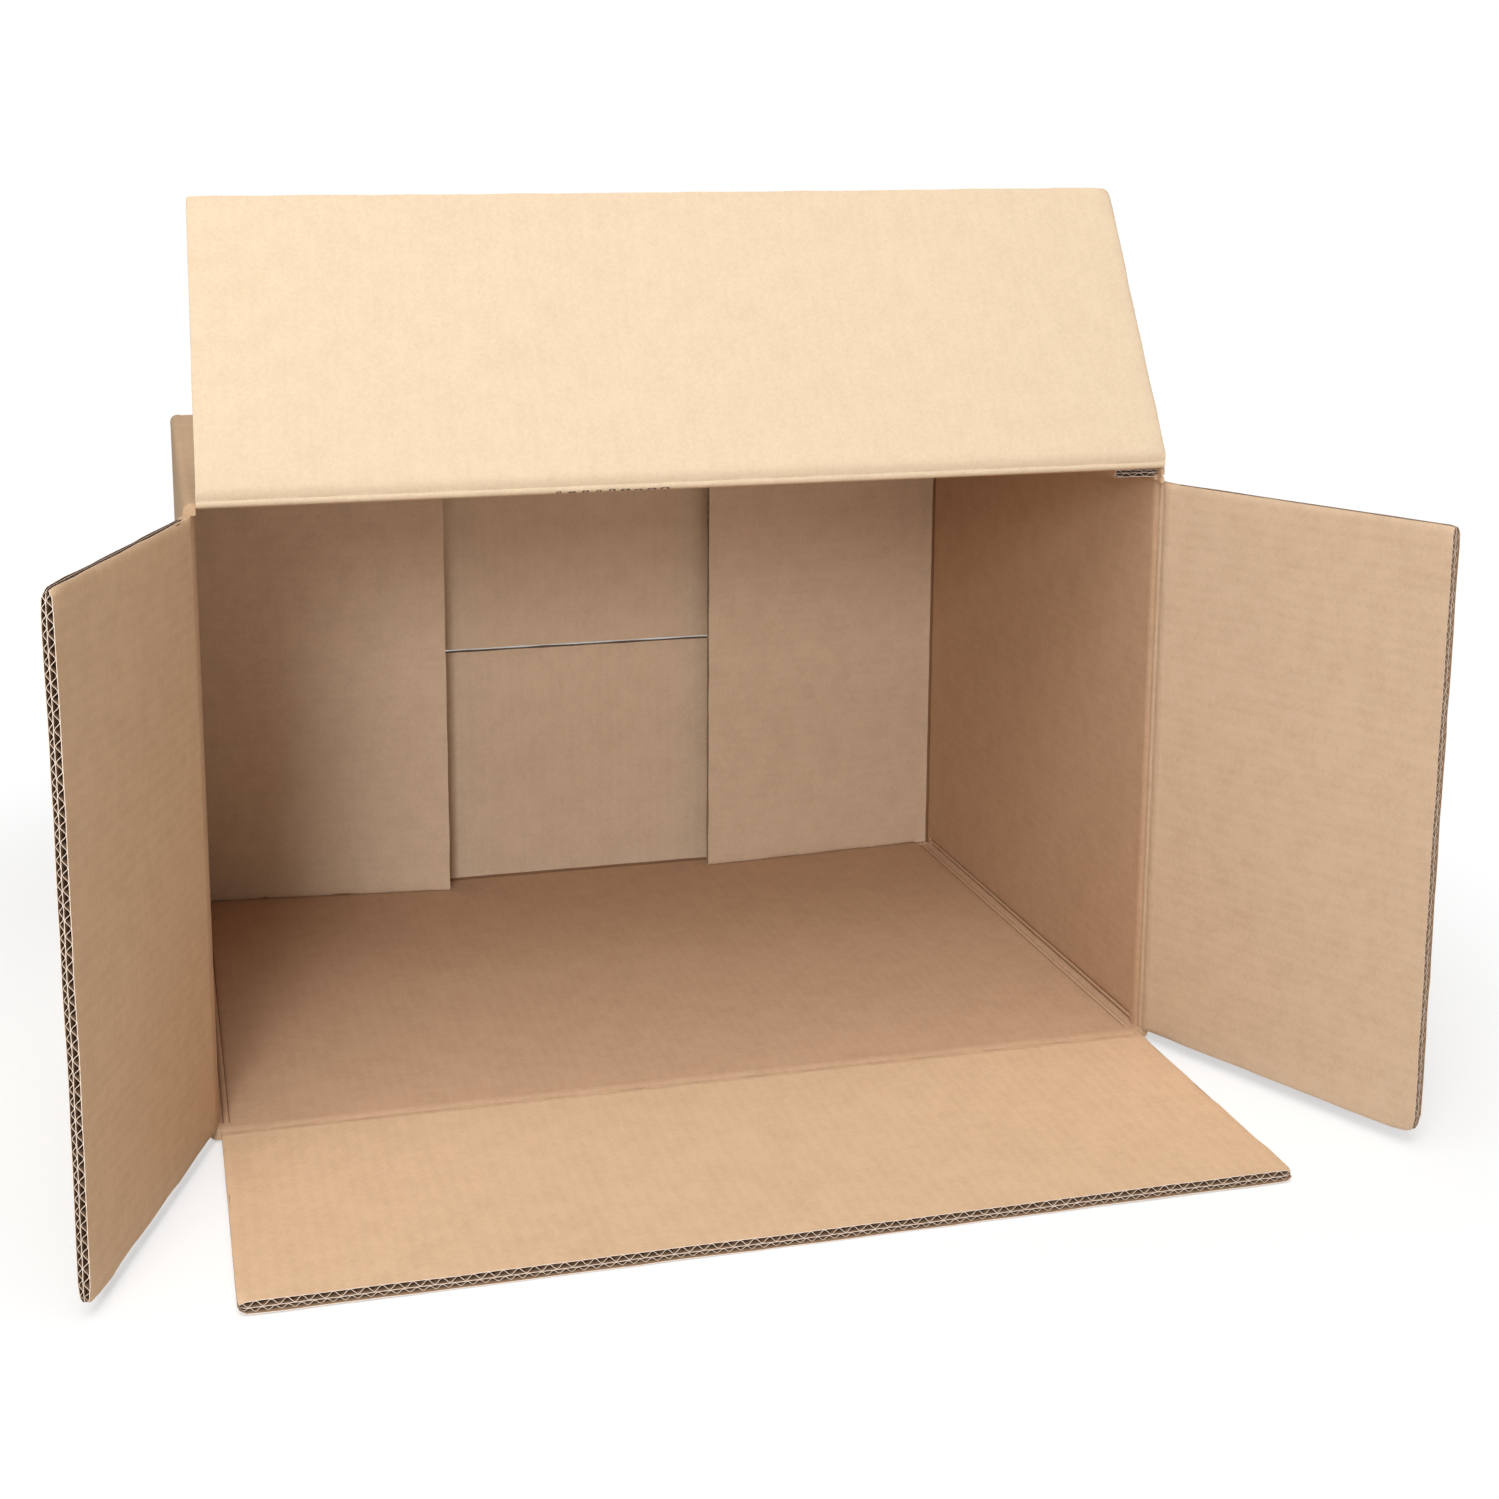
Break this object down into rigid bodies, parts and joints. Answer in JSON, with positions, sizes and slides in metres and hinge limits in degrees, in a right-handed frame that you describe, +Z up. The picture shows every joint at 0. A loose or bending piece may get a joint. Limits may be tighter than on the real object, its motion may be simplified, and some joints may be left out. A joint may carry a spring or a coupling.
{
  "type": "corrugated shipping box",
  "caption": "Plain double wall corrugated carton lying on a long side, base flaps folded in and taped, mouth flaps hinged and open.",
  "frame": {"origin": "centre of the underside of the long wall that the carton lies on", "axes": "+X along the mouth's long side, +Y from the mouth into the carton, +Z up"},
  "size_m": [0.7559, 0.5892, 0.5467],
  "materials": {
    "kraft_board": "matt brown kraft liner, faint ribs along the flutes",
    "clear_tape": "glossy clear packing tape"
  },
  "bodies": {
    "carton": {"carton_body": "kraft_board", "seam_tape": "clear_tape"},
    "top_flap": {"top_long_flap": "kraft_board"},
    "bottom_flap": {"bottom_long_flap": "kraft_board"},
    "left_flap": {"left_short_flap": "kraft_board"},
    "right_flap": {"right_short_flap": "kraft_board"}
  },
  "joints": [
    {"name": "top_flap_fold", "type": "hinge", "parent": "carton", "child": "top_flap", "pos_m": [0, -0.2, 0.38], "axis": [1, 0, 0], "range_deg": [-50, 210]},
    {"name": "bottom_flap_fold", "type": "hinge", "parent": "carton", "child": "bottom_flap", "pos_m": [0, -0.2, 0], "axis": [-1, 0, 0], "range_deg": [-170, 90]},
    {"name": "left_flap_fold", "type": "hinge", "parent": "carton", "child": "left_flap", "pos_m": [-0.3, -0.193, 0.19], "axis": [0, 0, 1], "range_deg": [-149, 111]},
    {"name": "right_flap_fold", "type": "hinge", "parent": "carton", "child": "right_flap", "pos_m": [0.3, -0.193, 0.19], "axis": [0, 0, -1], "range_deg": [-144, 116]}
  ]
}
